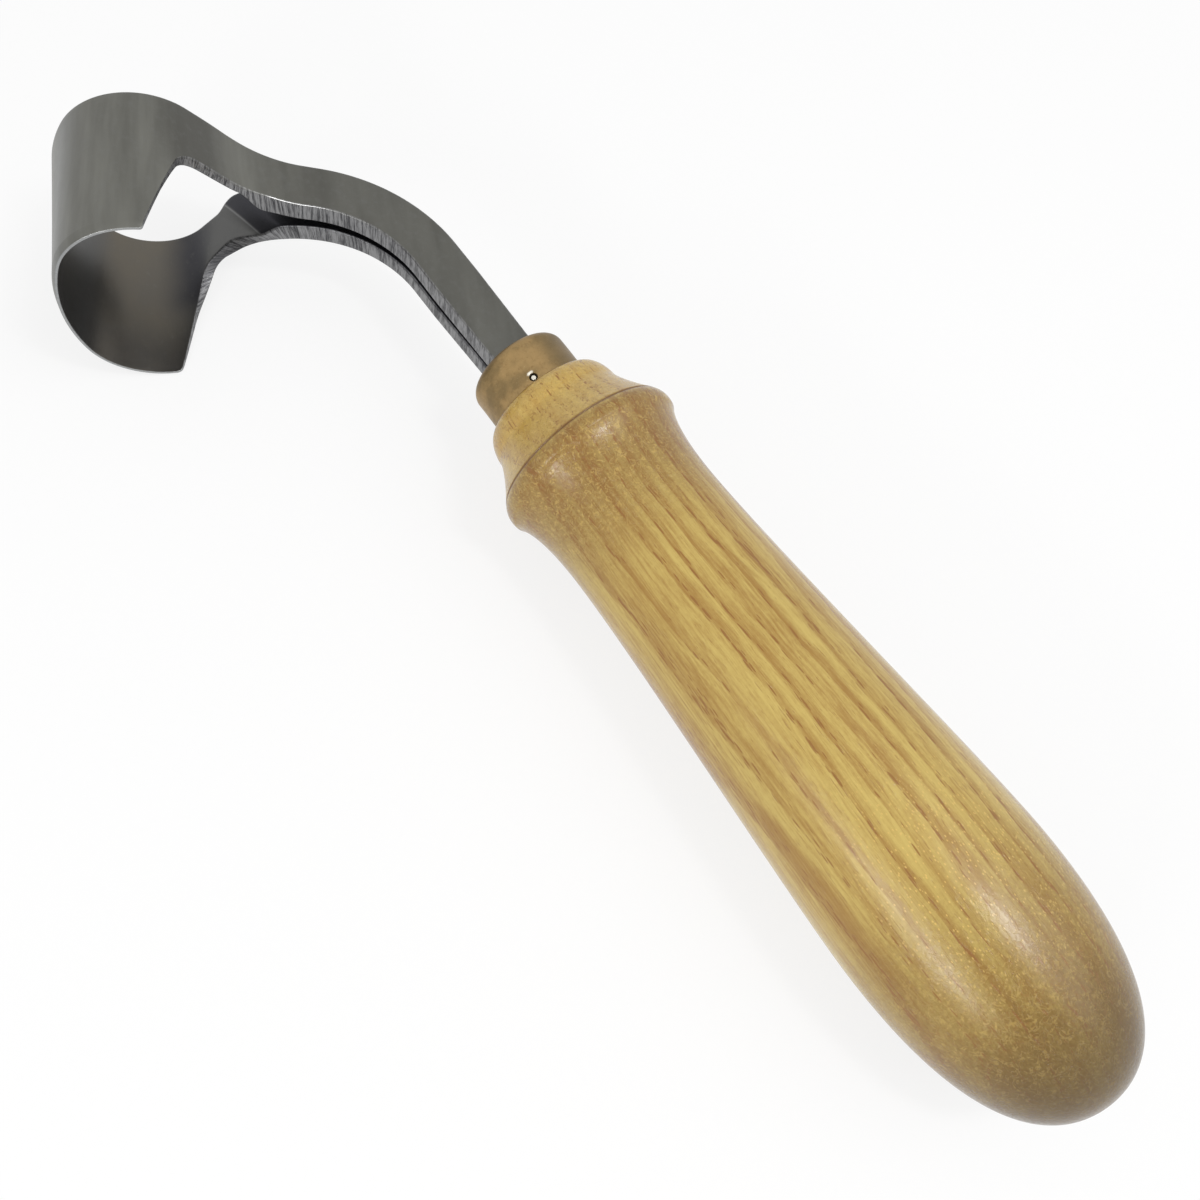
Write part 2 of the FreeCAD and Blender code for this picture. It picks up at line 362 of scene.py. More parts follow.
def ash(looks):
    """Lacquered ash: growth rings as planes along the handle, short dark pores crowded at
    the start of each ring, fine fibres, short rays, and curly darker end grain."""
    f = new_finish("ash_lacquered")
    place = f.place()
    along = f.axis(place, "X")
    across = f.axis(place, "Y")
    height = f.axis(place, "Z")
    wander = f.noise(f.stretched(place, (0.018, 0.1, 0.1)), 1.0, 2.0) - 0.5
    ripple = f.noise(f.stretched(place, (0.16, 0.6, 0.6)), 1.0, 2.0) - 0.5
    layer = across + height * 0.06 + along * 0.014 + height * height * 0.004
    layer = layer + wander * 3.4 + ripple * 0.55
    uneven = f.noise(f.joined(layer * 0.33, 0.0, 0.0), 1.0, 0.0) - 0.5
    ring = (layer + uneven * 2.2) / looks.ring_width
    part = ring.fraction()
    early = part.step(0.0, 0.07) * part.step(0.85, 0.1)
    porous = part.step(0.0, 0.05) * part.step(0.34, 0.12)
    strength = f.noise(f.stretched(place, (0.03, 0.3, 0.3), (7, 3, 1)), 1.0, 2.0).step(0.28, 0.62)
    end_grain = f.mark("end_grain")

    pore_cells = f.cells(f.joined(along * 0.3, layer * 2.6, height * 2.6), 1.0)
    pores = (0.12 + porous * (0.13 + strength * 0.15) - pore_cells).step(-0.03, 0.05)
    line_cells = f.cells(f.joined(along * 0.12, layer * 2.6, height * 2.6), 1.0)
    line_room = f.noise(f.joined(along * 0.03, layer * 0.5, height * 0.3), 1.0)
    line_room = line_room.step(0.42, 0.66)
    lines = (0.13 + line_room * 0.16 - line_cells).step(-0.02, 0.08)
    fibre = f.noise(f.joined(along * 0.11, layer * 2.2, height * 2.2), 1.0, 5.0, 0.75) - 0.5
    band = f.noise(f.joined(along * 0.012, layer * 0.42, height * 0.12), 1.0, 3.0, 0.6) - 0.5
    patch = f.noise(f.stretched(place, (0.05, 0.16, 0.16), (1, 5, 2)), 1.0, 2.0) - 0.5
    grain = f.noise(f.stretched(place, (1.6, 2.2, 2.2)), 1.0, 4.0, 0.7) - 0.5
    rays = (0.26 - f.cells(f.stretched(place, (1.3, 2.6, 0.5)), 1.0)).step(0.0, 0.08)
    ray_room = along.within(96.0, 26.0) * height.step(6.0, 13.0)

    light_curls = f.curls(place, 0.8, 0.05, 1.6)
    dark_curls = f.curls(f.stretched(place, (1, 1, 1), (11, 4, 7)), 0.75, 0.03, 1.4)
    broken = f.noise(f.stretched(place, (1.1, 1.1, 1.1), (3, 3, 9)), 1.0, 2.0).step(0.42, 0.58)
    collar = along.step(19.0, 17.5)
    behind_bead = along.step(18.2, 19.5) * along.step(44.0, 24.0)
    butt = along.step(88.0, 116.0)
    curly = (collar * 0.8 + behind_bead + butt * 0.75 + end_grain * 0.4).capped()

    tone = early * (0.22 + strength * 0.3) + 0.22
    tone = tone + fibre * 2.2 + band * 1.3 + patch * 0.7 + grain * 0.5
    colour = f.mix(tone.step(-0.25, 1.05), linear(looks.late_wood), linear(looks.early_wood))
    colour = f.mix(lines * 0.45, colour, linear(looks.line_colour))
    colour = f.mix(behind_bead * (0.55 + grain * 0.7), colour, linear(looks.browned))
    colour = f.mix(butt * (0.75 + grain * 0.9 + patch * 0.7), colour, linear(looks.golden))
    colour = f.mix(collar * (0.5 + grain * 0.6), colour, linear(looks.yellow))
    colour = f.mix(rays * ray_room * 0.75, colour, linear(looks.ray_colour))
    light_share = light_curls * (0.4 + broken * 0.6) * curly * 0.38
    dark_share = dark_curls * (1 - broken) * curly * 0.6
    colour = f.mix(light_share, colour, linear(looks.ray_colour))
    colour = f.mix(dark_share, colour, linear(looks.line_colour))
    colour = f.mix(pores * (0.45 + early * 0.35), colour, linear(looks.pore_colour))
    # Painted shade: the wood darkens towards the butt's end
    butt_end_shade = along.step(108.0, 127.0)
    colour = f.mix(butt_end_shade * 0.8, colour, linear(looks.butt_end_shade))
    groove = along.within(FERRULE_END / MM + GROOVE_BACK, 0.5)
    cut_edge = along.within(FERRULE_END / MM + 0.1, 0.4)
    colour = f.mix(groove * 0.85 + cut_edge * 0.5, colour, linear(looks.groove))

    relief = fibre * 0.5 - pores * 0.15 - lines * 0.25 + grain * 0.5 + curly * light_curls * 0.4
    normal = f.bump(relief, looks.relief / MM)
    return f.surface(
        Base_Color=colour,
        Roughness=0.17 + fibre * 0.15 + grain * 0.15,
        Coat_Weight=looks.coat,
        Coat_Roughness=looks.lacquer_roughness,
        Normal=normal,
    )


def colour_prop(name, of_what, default):
    """A display colour from 0 to 255, as a setting."""
    return bpy.props.IntVectorProperty(
        name=name, description=f"Display colour of {of_what}", default=default, min=0, max=255
    )


def length_prop(name, description, millimetres):
    """A length, given in millimetres and kept in metres."""
    return bpy.props.FloatProperty(
        name=name, description=description, default=millimetres * MM, unit="LENGTH"
    )


def share_prop(name, description, default):
    """A share from 0 to 1."""
    return bpy.props.FloatProperty(
        name=name, description=description, default=default, min=0, max=1, subtype="FACTOR"
    )


class HandleLooks(bpy.types.PropertyGroup):
    late_wood: colour_prop("Late wood", "the dense wood", (202, 176, 96))
    early_wood: colour_prop("Early wood", "the porous bands", (160, 120, 50))
    line_colour: colour_prop("Fibre lines", "the fine lines of the grain", (146, 100, 38))
    pore_colour: colour_prop("Pores", "open pores", (140, 90, 30))
    ray_colour: colour_prop("Rays", "the ray flecks", (222, 188, 104))
    browned: colour_prop(
        "Browned wood", "the wood behind the bead, where the end grain took up lacquer",
        (112, 72, 20),
    )
    golden: colour_prop("Golden butt", "the end grain at the butt", (120, 88, 16))
    yellow: colour_prop("Collar", "the collar", (196, 158, 76))
    # Colour of the painted shade at the butt's end
    butt_end_shade: colour_prop("Far end", "the butt's end", (74, 54, 10))
    groove: colour_prop("Groove", "the cut in front of the bead", (110, 70, 26))
    relief: length_prop("Relief", "Depth of the grain's relief under the lacquer", 0.06)
    coat: share_prop("Coat", "Weight of the smooth lacquer coat", 0.1)
    ring_width: bpy.props.FloatProperty(
        name="Ring width", description="Growth ring width in millimetres", default=2.75, min=0.5
    )
    lacquer_roughness: share_prop("Lacquer roughness", "Roughness of the lacquer coat", 0.2)
    shoulder_radius: length_prop("Shoulder radius", "Radius behind the ferrule", 10.94)
    bead_radius: length_prop("Bead radius", "Radius of the bead's crest", 15.0)
    neck_radius: length_prop("Neck radius", "Radius of the hollow behind the bead", 12.745)
    swell_radius: length_prop("Swell radius", "Largest radius of the grip", 16.17)
    sides: bpy.props.IntProperty(
        name="Sides", description="Points round the handle", default=208, min=24
    )


def handle_profile(looks):
    """The handle's outline as smooth cubic curves, from the bottom of its bore over the
    tenon, shoulder, cove, bead, hollow and swell to the middle of its butt."""
    wood = FERRULE_END / MM
    shoulder = looks.shoulder_radius / MM
    bead = looks.bead_radius / MM
    neck = looks.neck_radius / MM
    swell = looks.swell_radius / MM
    inside = [
        straight((BORE_END, 0), (BORE_STRAIGHT, BORE), 3),
        straight((BORE_STRAIGHT, BORE), (1.03, BORE), 12),
        straight((1.03, BORE), (1.03, 5.97), 2),
        straight((1.03, 5.97), (2.03, TENON), 2),
        straight((2.03, TENON), (wood, TENON), 4),
        straight((wood, TENON), (wood, 9.35), 4),
    ]
    length = HANDLE_LENGTH
    outside = [
        bezier([(0, 9.45), (0, 10.19), (1.94, shoulder), (3.45, shoulder)], 22),
        bezier([(3.45, shoulder), (4.19, shoulder), (7.01, 12.27), (10.05, 14.42)], 26),
        bezier([(10.05, 14.42), (10.12, 14.30), (10.24, 14.32), (10.3, 14.56)], 6),
        bezier([(10.3, 14.56), (11.02, 14.98), (11.84, bead + 0.07), (12.66, bead - 0.17)], 16),
        bezier([(12.66, bead - 0.17), (13.05, 14.45), (15.6, neck), (24.76, neck)], 30),
        bezier([(24.76, neck), (39.9, neck), (79.2, swell), (91.05, swell)], 70),
        bezier([(91.05, swell), (length - 1.2, swell), (length, 4.33), (length, 0)], 60),
        np.array([[length, 0.0]]),
    ]
    outside = np.concatenate(outside)
    outside[:, 0] += wood
    return np.concatenate([*inside, outside])


class ScorpHandle(bpy.types.Operator):
    """Turn the ash handle"""

    bl_idname = "scorp.handle"
    bl_label = "Handle"

    def execute(self, context):
        looks = context.scene.scorp_handle
        profile = handle_profile(looks)
        turns = np.linspace(0, 2 * np.pi, looks.sides, endpoint=False)
        grid, poles, faces = turned(profile, turns)
        slope = np.gradient(profile, axis=0)
        end_grain = np.abs(slope[:, 1]) / np.maximum(np.hypot(slope[:, 0], slope[:, 1]), 1e-9)
        end_grain = np.repeat(end_grain[1:-1, None], looks.sides, 1)
        points = np.concatenate([grid.reshape(-1, 3), poles])
        marks = {"end_grain": np.concatenate([end_grain.ravel(), [1, 1]])}
        finished("ash_handle", points, faces, "handle", ash(looks), marks)
        return {"FINISHED"}


# Brass ferrule and its pin


def brass(looks):
    """Dull drawn brass: tarnished clouds, one side painted darker as shade, fine rings from
    polishing, painted shade in the pin's hole, a darker rear edge, and a painted highlight on the
    hole's burr.
    """
    f = new_finish("brass_dull")
    place = f.place()
    along = f.axis(place, "X")
    cloud = f.noise(f.stretched(place, (0.3, 0.2, 0.2)), 1.0, 4.0, 0.6)
    spots = f.noise(f.stretched(place, (1.4, 1.4, 1.4), (4, 1, 2)), 1.0, 5.0, 0.75)
    speck = f.noise(f.stretched(place, (4.5, 4.5, 4.5), (4, 1, 2)), 1.0, 2.0, 0.6)
    rings = f.noise(f.stretched(place, (9.0, 0.25, 0.25)), 1.0, 3.0, 0.7)
    rear = along.step(FERRULE_END / MM - 0.8, FERRULE_END / MM)
    lip = along.step(1.3, 0.3)
    across = f.axis(place, "Y")
    colour = f.mix(cloud.step(0.35, 0.65) * 0.7, linear(looks.brass), linear(looks.tarnish_and_shade))
    # Painted shade: the ferrule's +Y side made darker
    colour = f.mix(across.step(-0.5, 3.5) * 0.75, colour, linear(looks.tarnish_and_shade))
    colour = f.mix(spots.step(0.5, 0.72) * 0.45, colour, linear(looks.brown))
    colour = f.mix(speck.step(0.62, 0.8) * 0.4, colour, linear(looks.bright))
    colour = f.mix(lip * 0.35, colour, linear(looks.brown))
    # Painted shade in the pin's hole; the last 0.8 mm before the rear edge is made darker too
    colour = f.mix(f.mark("pin_hole_shade") + rear * 0.4, colour, linear(looks.darkening))
    # Painted highlight: a near-white spot on one side of the hole's burr
    colour = f.mix(f.mark("pin_glint"), colour, (0.95, 0.9, 0.78))
    normal = f.bump(rings * 0.3 + spots * 0.7 + speck * 0.3, 0.03)
    return f.surface(
        Base_Color=colour,
        Metallic=0.8,
        Roughness=0.42 + (cloud - 0.5) * 0.2 + (rings - 0.5) * 0.15,
        Normal=normal,
    )


def pin_steel():
    """Bright wire end with a file's fine marks; its near-white colour is partly a painted
    highlight.
    """
    f = new_finish("pin_bright")
    marks = f.noise(f.stretched(f.place(), (6.0, 1.0, 6.0)), 1.0, 3.0, 0.7)
    # Near-white: bright wire, whitened further as a painted highlight on the pin's end
    colour = f.mix(marks, linear((250, 248, 238)), linear((205, 200, 185)))
    return f.surface(
        Base_Color=colour,
        Metallic=0.85,
        Roughness=0.25 + marks * 0.2,
        Normal=f.bump(marks, 0.01),
    )


class FerruleLooks(bpy.types.PropertyGroup):
    brass: colour_prop("Brass", "the clean brass", (164, 136, 91))
    # Tarnished brass, also the colour of the painted shade on the ferrule's +Y side
    tarnish_and_shade: colour_prop("Tarnish", "the tarnished brass", (108, 92, 62))
    brown: colour_prop("Brown spots", "the darkest tarnish", (112, 86, 50))
    bright: colour_prop("Bright specks", "rubbed specks", (196, 180, 136))
    # Dark colour of the painted shade in the pin's hole, also used to darken the rear edge
    darkening: colour_prop("Darkening", "dirt in the corners", (44, 33, 18))
    radius: length_prop("Radius", "Outer radius of the ferrule", 8.0)
    edge_round: length_prop("Front round", "Radius of the rounded front edge", 1.6)
    mouth: length_prop("Mouth radius", "Radius of the opening for the shanks", 6.0)
    pin_turn: bpy.props.FloatProperty(
        name="Pin turn",
        description="Turn of the pin from straight up", default=np.radians(17.5), unit="ROTATION",
    )
    pin_back: length_prop("Pin place", "Distance of the pin from the ferrule's rear end", 1.35)
    pin_radius: length_prop("Pin radius", "Radius of the pin's end that shows", 0.42)
    pin_hole: length_prop("Pin hole", "Radius of the countersunk hole round the pin", 0.66)


# The side of the pin's hole where a highlight is painted on its burr: the turn from +X round it
GLINT_TURN = np.radians(175)
# In millimetres: radius inside the ferrule, thickness of its turned-in front, rounds of its
# mouth and rear edge, depth of the hole round the pin, how far the pin's end lies below the
# brass, and the length of the pin that is made
INSIDE = 7.0
FRONT_WALL = 1.0
MOUTH_ROUND = 0.15
REAR_ROUND = 0.12
HOLE_DEPTH = 0.75
PIN_BELOW = 0.16
PIN_LENGTH = 2.5


def crowded(centre, low, high, half, fine, coarse):
    """Rising steps from low to high: fine ones within half of centre, coarse ones outside."""
    before = np.arange(low, centre - half, coarse)
    inside = np.arange(centre - half, centre + half, fine)
    after = np.arange(centre + half, high, coarse)
    return np.concatenate([before, inside, after])


def out_of_pin(looks):
    """Unit vector from the handle's axis along the pin."""
    return np.array([0, -np.sin(looks.pin_turn), np.cos(looks.pin_turn)])


class ScorpFerrule(bpy.types.Operator):
    """Make the brass ferrule and the end of its pin"""

    bl_idname = "scorp.ferrule"
    bl_label = "Ferrule and pin"

    def execute(self, context):
        looks = context.scene.scorp_ferrule
        radius = looks.radius / MM
        edge = looks.edge_round / MM
        end = FERRULE_END / MM
        hole = looks.pin_hole / MM
        pin_x = end - looks.pin_back / MM
        barrel = crowded(pin_x, edge, end - 0.1, hole + 0.25, 0.05, 0.35)
        mouth = looks.mouth / MM
        ring = np.concatenate([
            straight((FRONT_WALL, mouth), (MOUTH_ROUND, mouth), 3),
            arc((MOUTH_ROUND, mouth + MOUTH_ROUND), MOUTH_ROUND, 270, 180, 5),
            straight((0, mouth + MOUTH_ROUND), (0, radius - edge), 3),
            arc((edge, radius - edge), edge, 180, 90, 16),
            np.stack([barrel, np.full(len(barrel), radius)], 1),
            arc((end - REAR_ROUND, radius - REAR_ROUND), REAR_ROUND, 90, 0, 5, True),
            straight((end, radius - 0.3), (end, INSIDE), 3),
            straight((end, INSIDE), (FRONT_WALL, INSIDE), 6),
            straight((FRONT_WALL, INSIDE), (FRONT_WALL, mouth), 2),
        ])
        pin_angle = np.pi / 2 + looks.pin_turn
        half = (hole + 0.25) / radius
        fine = 0.05 / radius
        turns = crowded(pin_angle, pin_angle - np.pi, pin_angle + np.pi, half, fine, np.pi / 90)
        x = np.repeat(ring[:, :1], len(turns), 1)
        r = np.repeat(ring[:, 1:], len(turns), 1)
        gap = np.hypot(x - pin_x, (turns - pin_angle) * radius)
        outside = r > radius - 0.35
        sink = smooth_step(hole + 0.02, hole - 0.2, gap) * outside
        burr = np.exp(-(((gap - hole - 0.08) / 0.09) ** 2)) * outside
        wear_and_glint = 0.03 * np.sin(turns * 3 + 0.6) * np.sin(x * 0.6) * outside
        r = r - sink * HOLE_DEPTH + burr * 0.04 + wear_and_glint
        points = np.stack([x, r * np.cos(turns), r * np.sin(turns)], -1).reshape(-1, 3)
        rows, columns = x.shape
        faces = grid_faces(rows, columns, True)
        seam = np.arange(columns)
        last = (rows - 1) * columns + seam
        close = np.stack([last, np.roll(last, -1), np.roll(seam, -1), seam], 1)
        # Where round the hole the painted highlight on the burr lies
        glint_side = np.cos(np.arctan2((turns - pin_angle) * radius, x - pin_x) - GLINT_TURN)
        near_rim = smooth_step(0.24, 0.1, np.abs(gap - hole - 0.17))
        glint = smooth_step(0.72, 0.97, glint_side) * near_rim * outside
        marks = {
            # Painted shade inside the pin's hole
            "pin_hole_shade": (smooth_step(hole + 0.06, hole - 0.1, gap) * outside).ravel(),
            "pin_glint": glint.ravel(),
        }
        faces = [faces[:, ::-1], close[:, ::-1]]
        finished("brass_ferrule", points, faces, "ferrule", brass(looks), marks)

        out = out_of_pin(looks)
        side = np.array([1.0, 0, 0])
        other = np.cross(out, side)
        pin = looks.pin_radius / MM
        top = radius - PIN_BELOW
        bottom = top - PIN_LENGTH
        profile = np.concatenate([
            straight((bottom, 0), (bottom, pin), 3),
            straight((bottom, pin), (top - 0.2, pin), 4),
            arc((top - 0.2, pin - 0.2), 0.2, 90, 0, 6),
            straight((top, pin - 0.2), (top - 0.05, 0), 5),
            np.array([[top - 0.05, 0.0]]),
        ])
        grid, poles, faces = turned(profile, np.linspace(0, 2 * np.pi, 40, endpoint=False))
        local = np.concatenate([grid.reshape(-1, 3), poles])
        points = local[:, :1] * out + local[:, 1:2] * side + local[:, 2:] * other + [pin_x, 0, 0]
        finished("pin_end", points, faces, "ferrule_pin", pin_steel(), {})
        return {"FINISHED"}


# Blade


def blade_steel(looks):
    """Ground tool steel: grey with cloudy polish, a brown band inside the loop, and bright
    cross-ground edges. Painted shade makes the inside of the loop dark, and darker past the line
    where the inside grind runs out; painted highlights lie along that line, the cutting edge and
    the near shank's lower corner, with a painted reflection by the nose."""
    f = new_finish("blade_ground")
    place = f.place()
    inner = f.mark("inner")
    land = f.mark("land")
    run = f.mark("run")
    rise = f.mark("rise")
    past_grind = f.mark("past_grind")
    edge_glint = f.mark("edge_glint")
    cloud = f.noise(f.stretched(place, (0.11, 0.11, 0.11)), 1.0, 4.0, 0.6)
    mottle = f.noise(f.stretched(place, (0.8, 0.8, 0.8), (3, 8, 2)), 1.0, 4.0, 0.65)
    strip = f.joined(run, rise, inner)
    drift = f.noise(f.stretched(strip, (0.22, 0.035, 1.0)), 1.0, 3.0, 0.6)
    brush = f.noise(f.stretched(strip, (5.0, 0.35, 1.0)), 1.0, 3.0, 0.7)
    cross = f.noise(f.stretched(strip, (3.4, 0.5, 0.6)), 1.0, 4.0, 0.8)
    outside = f.mix(drift.step(0.25, 0.75) * 0.55, linear(looks.steel), linear(looks.steel_dark))
    high = run.within(35.0, 10.0) * rise.step(6.0, 18.0)
    outside = f.mix(high * 0.8, outside, linear(looks.steel_dark))
    outside = f.mix(abs(run).step(42.0, 52.0) * 0.45, outside, linear(looks.steel_dark))
    # Painted reflection: a lighter band on the outside by the nose
    outside = f.mix(run.within(10.0, 6.5) * 0.6, outside, linear(looks.steel_light))
    outside = f.mix(mottle.step(0.45, 0.75) * 0.16, outside, linear(looks.steel_light))
    # Painted shade in the loop's hollow: the inside greys are darker than the outside, and darker
    # still in these lobes and towards the cutting edge
    lobes = run.within(-29.5, 8.0) * rise.step(9.0, 14.0) + rise.step(9.0, 3.0) * 0.3
    grey = linear(looks.inside_grey)
    inside = f.mix(abs(run + 19.0).step(12.0, 5.0), grey, linear(looks.inside_brown))
    inside = f.mix(cloud.step(0.3, 0.7) * 0.35, inside, grey)
    inside = f.mix(lobes * (0.6 + cloud * 0.6), inside, linear(looks.inside_shade))
    inside = f.mix(mottle.step(0.55, 0.8) * 0.2, inside, linear(looks.steel))
    # Painted shade past the line where the inside grind runs out, and a painted highlight along
    # that line
    inside = f.mix(past_grind.step(0.4, 0.6), inside, linear(looks.inside_shade))
    inside = f.mix(past_grind.within(0.38, 0.12) * 0.5, inside, linear(looks.edge_bright))
    colour = f.mix(inner.step(0.3, 0.7), outside, inside)
    bright = f.mix(cross.step(0.38, 0.6), linear(looks.edge_dark), linear(looks.edge_bright))
    colour = f.mix(land, colour, bright)
    # Painted shade on the far leg's ground edge by the wall's end, between the legs
    wall = land * rise.step(3.0, 6.0) * run.within(-37.0, 8.0)
    colour = f.mix(wall * 0.6, colour, linear(looks.inside_shade))
    # Painted highlight: the cutting edge's flat made light
    rim = land * rise.step(1.0, 0.3) * abs(run).step(42.0, 38.0)
    colour = f.mix(rim * 0.7, colour, linear(looks.rim))
    # Painted highlight: a near-white line along the near shank's lower outer corner
    colour = f.mix(edge_glint.step(0.35, 0.8), colour, (0.93, 0.93, 0.93))
    rough = 0.38 + (mottle - 0.5) * 0.1 + land * (cross - 0.4) * 0.3
    normal = f.bump(brush * 0.3 + mottle * 0.15 + land * cross * 1.2, 0.03)
    return f.surface(Base_Color=colour, Metallic=0.95, Roughness=rough, Normal=normal)


class BladeLooks(bpy.types.PropertyGroup):
    steel: colour_prop("Steel", "the loop's outside", (119, 119, 113))
    steel_dark: colour_prop("Darker steel", "the darker clouds", (76, 75, 71))
    # Lighter steel: the painted reflection by the nose, and the lighter mottling
    steel_light: colour_prop("Lighter steel", "the lighter band by the nose", (121, 122, 121))
    # Inside colours, darker than the outside's as painted shade in the loop's hollow
    inside_shade: colour_prop("Dark inside", "the dark lobes inside the loop", (60, 60, 64))
    inside_grey: colour_prop("Grey inside", "the rest of the inside", (92, 92, 91))
    inside_brown: colour_prop("Brown inside", "the brown band inside the loop", (104, 99, 90))
    edge_bright: colour_prop("Bright edge", "the ground edges", (146, 146, 147))
    edge_dark: colour_prop("Edge marks", "the grinding marks", (70, 70, 72))
    # Colour of the painted highlight on the cutting edge's flat
    rim: colour_prop("Cutting edge", "the cutting edge's flat", (176, 178, 178))
    thickness: length_prop("Bar thickness", "Thickness of the shanks", 3.2)
    depth: length_prop("Loop depth", "Depth of the loop's strip", 25.2)
    edge_thickness: length_prop("Edge thickness", "Thickness behind the bevel", 0.75)
    spine_thickness: length_prop("Spine thickness", "Thickness at the spine", 2.0)
    bevel_width: length_prop("Bevel width", "Width of the outer bevel", 1.3)
    bevel_depth: length_prop("Bevel depth", "How much the bevel thins the edge", 0.35)


def half_loop(half_length, half_width, nose, side, inset, leg):
    """Half of the line round the outside of the bar, from the middle of the loop's nose to
    the tang's end: an arc of radius nose, one of radius side, a flank at 45 degrees, a
    hollow arc, and the shank's straight runs. Gives (along, side) points."""
    shoulder, root, front, fillet = leg
    half_length = half_length - inset
    side = side - inset
    nose = nose - inset
    half_width = half_width - inset
    nose_centre = half_length - nose
    side_centre = half_width - side
    turn = np.degrees(np.arcsin(side_centre / (nose - side)))
    side_along = nose_centre + (nose - side) * np.cos(np.radians(turn))
    leave = np.array([side_along - side * np.sqrt(0.5), side_centre + side * np.sqrt(0.5)])
    slope = (shoulder - root) / 27.0
    reach = (root + slope * (47.0 + leave[0]) - leave[1]) / (1 - slope)
    path = rounded_path([(leave, 0), (leave + reach, fillet), ((-47.0, root), 0)], 0.2)
    first, last = path[2][0]
    return np.concatenate([
        arc((nose_centre, 0), nose, 0, turn, 60),
        arc((side_along, side_centre), side, turn, 135, 110),
        at_length(path, np.linspace(0, first, 20, endpoint=False)),
        at_length(path, np.linspace(first, last, 60, endpoint=False)),
        at_length(path, np.linspace(last, path[1][-1], 50, endpoint=False)),
        straight((-47.0, root), (-55.0, front), 12),
        straight((-55.0, front), (-95.0, front), 40),
    ])


# Rows of points from the middle of the nose to where the edges' own stations start
NOSE_ROWS = 80
# How far the line where the inside grind runs out moves along the loop for each millimetre
# of depth, the depth at which a leg's "grind" is given, and the depths it leans between
GRIND_LEAN = 0.61
GRIND_DEPTH = 20.0
GRIND_RANGE = (8, 25.2)


def before_grind_end(along, depth, leg):
    """Distance along the loop, from the line where the inside grind runs out towards the
    nose."""
    return along - leg["grind"] + (GRIND_DEPTH - np.clip(depth, *GRIND_RANGE)) * GRIND_LEAN


class BarShape:
    """The bar's two faces, as points for a distance along the bar and a depth from the
    cutting edge to the spine. The outer face is ruled between its lines at a few depths,
    and the inner one lies a thickness inside it, measured square to it."""

    def __init__(self, looks):
        bevel = looks.bevel_depth / MM
        self.bevel = bevel
        self.thick = looks.thickness / MM
        self.thin = looks.edge_thickness / MM
        self.spine = looks.spine_thickness / MM
        self.levels = (0.0, looks.bevel_width / MM, looks.depth / MM)
        # Half the gap between the legs at the shoulder, before the ferrule and inside it, each
        # with the bar's thickness, and the radius of the hollow that leads to the legs
        leg = (1.0 + self.thick, 0.2 + self.thick, 0.08 + self.thick, 16.6)
        # Half length, half width, nose radius and side radius of the loop's outside, at the
        # cutting edge, above its bevel and at the spine
        self.lines = np.stack([
            half_loop(13.1, 17.4, 28.5, 12.0, bevel, leg),
            half_loop(13.1, 17.4, 28.0, 12.0, 0, leg),
            half_loop(12.75, 16.75, 21.0, 11.5, 0, leg),
        ])
        steps = np.linalg.norm(np.diff(self.lines[1], axis=0), axis=1)
        self.run = np.concatenate([[0], np.cumsum(steps)])
        slope = np.gradient(self.lines, axis=1)
        slope /= np.linalg.norm(slope, axis=-1, keepdims=True)
        self.inward = np.stack([-slope[..., 1], slope[..., 0]], -1)

    def between(self, table, run, depth):
        """Two numbers read from a table of the three lines."""
        low, middle, high = self.levels
        first = np.clip((depth - low) / (middle - low), 0, 1)
        second = np.clip((depth - middle) / (high - middle), 0, 1)
        at = [[np.interp(run, self.run, line[:, k]) for line in table] for k in (0, 1)]
        return [blend(blend(a[0], a[1], first), a[2], second) for a in at]

    def outer(self, run, depth):
        """Points (along, side) of the outer face."""
        return self.between(self.lines, run, depth)

    def inner(self, run, depth, leg):
        """Points (along, side) of the inner face. The strip thickens with the square of
        its depth, and beyond the slanting line where the inside grind runs out it has the
        bar's full thickness, less what the leg has lost towards the ferrule."""
        along, side = self.outer(run, depth)
        edge_loss = (1 - np.clip(depth / self.levels[1], 0, 1)) * self.bevel
        strip = blend(self.thin, self.spine, (depth / self.levels[2]) ** 2) - edge_loss
        lost = leg["lost"] * smooth_step(-24.0, -44.0, along) * smooth_step(-55.5, -53.0, along)
        bar_share = smooth_step(0.3, -3.6, before_grind_end(along, depth, leg))
        thick = blend(strip, self.thick - lost, bar_share)
        in_along, in_side = self.between(self.inward, run, depth)
        return [along + in_along * thick, side + in_side * thick]

    def run_at(self, face, edge, *leg):
        """Runs at which a face meets an edge given as (along, depth), as a column that
        starts at the middle of the nose."""
        runs = np.linspace(0, self.run[-1], 1600)
        line = face(runs[None], edge[:, 1:], *leg)[0]
        after = np.argmax(line < edge[:, :1], axis=1)
        rows = np.arange(len(edge))
        high = line[rows, after - 1]
        low = line[rows, after]
        share = (high - edge[:, 0]) / (high - low)
        run = blend(runs[after - 1], runs[after], share)
        return np.concatenate([np.linspace(0, run[0], NOSE_ROWS, endpoint=False), run])[:, None]


def from_nose(depths):
    """Depths of an edge as a column, with the first one kept round the nose."""
    return np.concatenate([np.full(NOSE_ROWS, depths[0]), depths])[:, None]


def in_loop(points):
    """Side-view points (x, y) as (along the loop, depth towards the spine)."""
    away = np.array(points, float) - LOOP_CENTRE
    return np.stack([away @ DOWN_LOOP, away @ TO_SPINE], -1)


